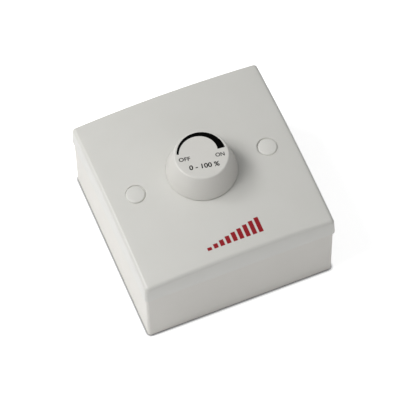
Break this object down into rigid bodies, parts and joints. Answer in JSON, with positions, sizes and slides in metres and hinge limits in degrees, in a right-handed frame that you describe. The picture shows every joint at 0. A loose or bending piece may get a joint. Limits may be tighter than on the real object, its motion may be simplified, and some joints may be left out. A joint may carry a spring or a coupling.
{
  "type": "rotary dimmer switch",
  "caption": "Surface-mounted rotary dimmer: square box, crowned front plate with round screw caps, tapered push-on knob that turns from off to full.",
  "frame": {"origin": "centre of the box's back face, which lies against the wall", "axes": "+Z out of the wall towards the knob, +X from the left screw cap to the right one, +Y up the wall"},
  "size_m": [0.0866, 0.0866, 0.058],
  "materials": {
    "white_moulding": "moulded white urea, satin",
    "box_moulding": "moulded white urea, satin",
    "knob_moulding": "moulded white ABS, satin",
    "cap_moulding": "moulded white ABS, satin",
    "black_moulding": "black moulding, matt",
    "grey_moulding": "grey moulding, matt",
    "track_laminate": "brown paper laminate",
    "board_laminate": "green glass laminate",
    "pad_silicone": "grey silicone sheet",
    "brass": "machined",
    "copper_wire": "enamelled copper wire",
    "plated_steel": "zinc plated",
    "spring_steel": "bright",
    "die_cast": "die cast zinc",
    "aluminium": "mill finish",
    "ferrite": "ground ferrite",
    "ceramic_body": "lacquered",
    "blue_sleeve": "printed sleeve",
    "film_box": "moulded box"
  },
  "bodies": {
    "housing": {"surface_box": "box_moulding", "insert_left": "brass", "insert_right": "brass", "front_plate": "white_moulding", "fixing_screw_left": "plated_steel", "fixing_screw_right": "plated_steel", "pot_bushing": "die_cast", "pot_nut": "plated_steel", "pot_washer": "plated_steel", "pot_case": "plated_steel", "pot_track": "track_laminate", "pot_terminals": "plated_steel", "switch_deck": "black_moulding", "switch_terminals": "plated_steel", "heat_sink": "aluminium", "module_screws": "plated_steel", "module_tray": "grey_moulding", "terminal_block": "black_moulding", "terminal_clamps": "brass", "terminal_screws": "plated_steel", "circuit_board": "board_laminate", "power_transistors": "black_moulding", "insulating_pads": "pad_silicone", "transistor_screws": "plated_steel", "reservoir_capacitor": "blue_sleeve", "film_capacitor": "film_box", "choke_core": "ferrite", "choke_winding": "copper_wire", "control_chip": "black_moulding", "fuse": "ceramic_body", "resistors": "ceramic_body"},
    "knob": {"knob": "knob_moulding", "knob_spring": "spring_steel", "pot_shaft": "aluminium", "shaft_circlip": "spring_steel", "wiper_rotor": "black_moulding", "wiper_contact": "brass"},
    "left_cap": {"screw_cap_left": "cap_moulding"},
    "right_cap": {"screw_cap_right": "cap_moulding"}
  },
  "joints": [
    {"name": "knob_turn", "type": "hinge", "parent": "housing", "child": "knob", "pos_m": [0, 0, 0.046], "axis": [0, 0, -1], "range_deg": [0, 300]},
    {"name": "left_cap_pull", "type": "slide", "parent": "housing", "child": "left_cap", "axis": [0, 0, 1], "range_m": [0, 0.01]},
    {"name": "right_cap_pull", "type": "slide", "parent": "housing", "child": "right_cap", "axis": [0, 0, 1], "range_m": [0, 0.01]}
  ]
}
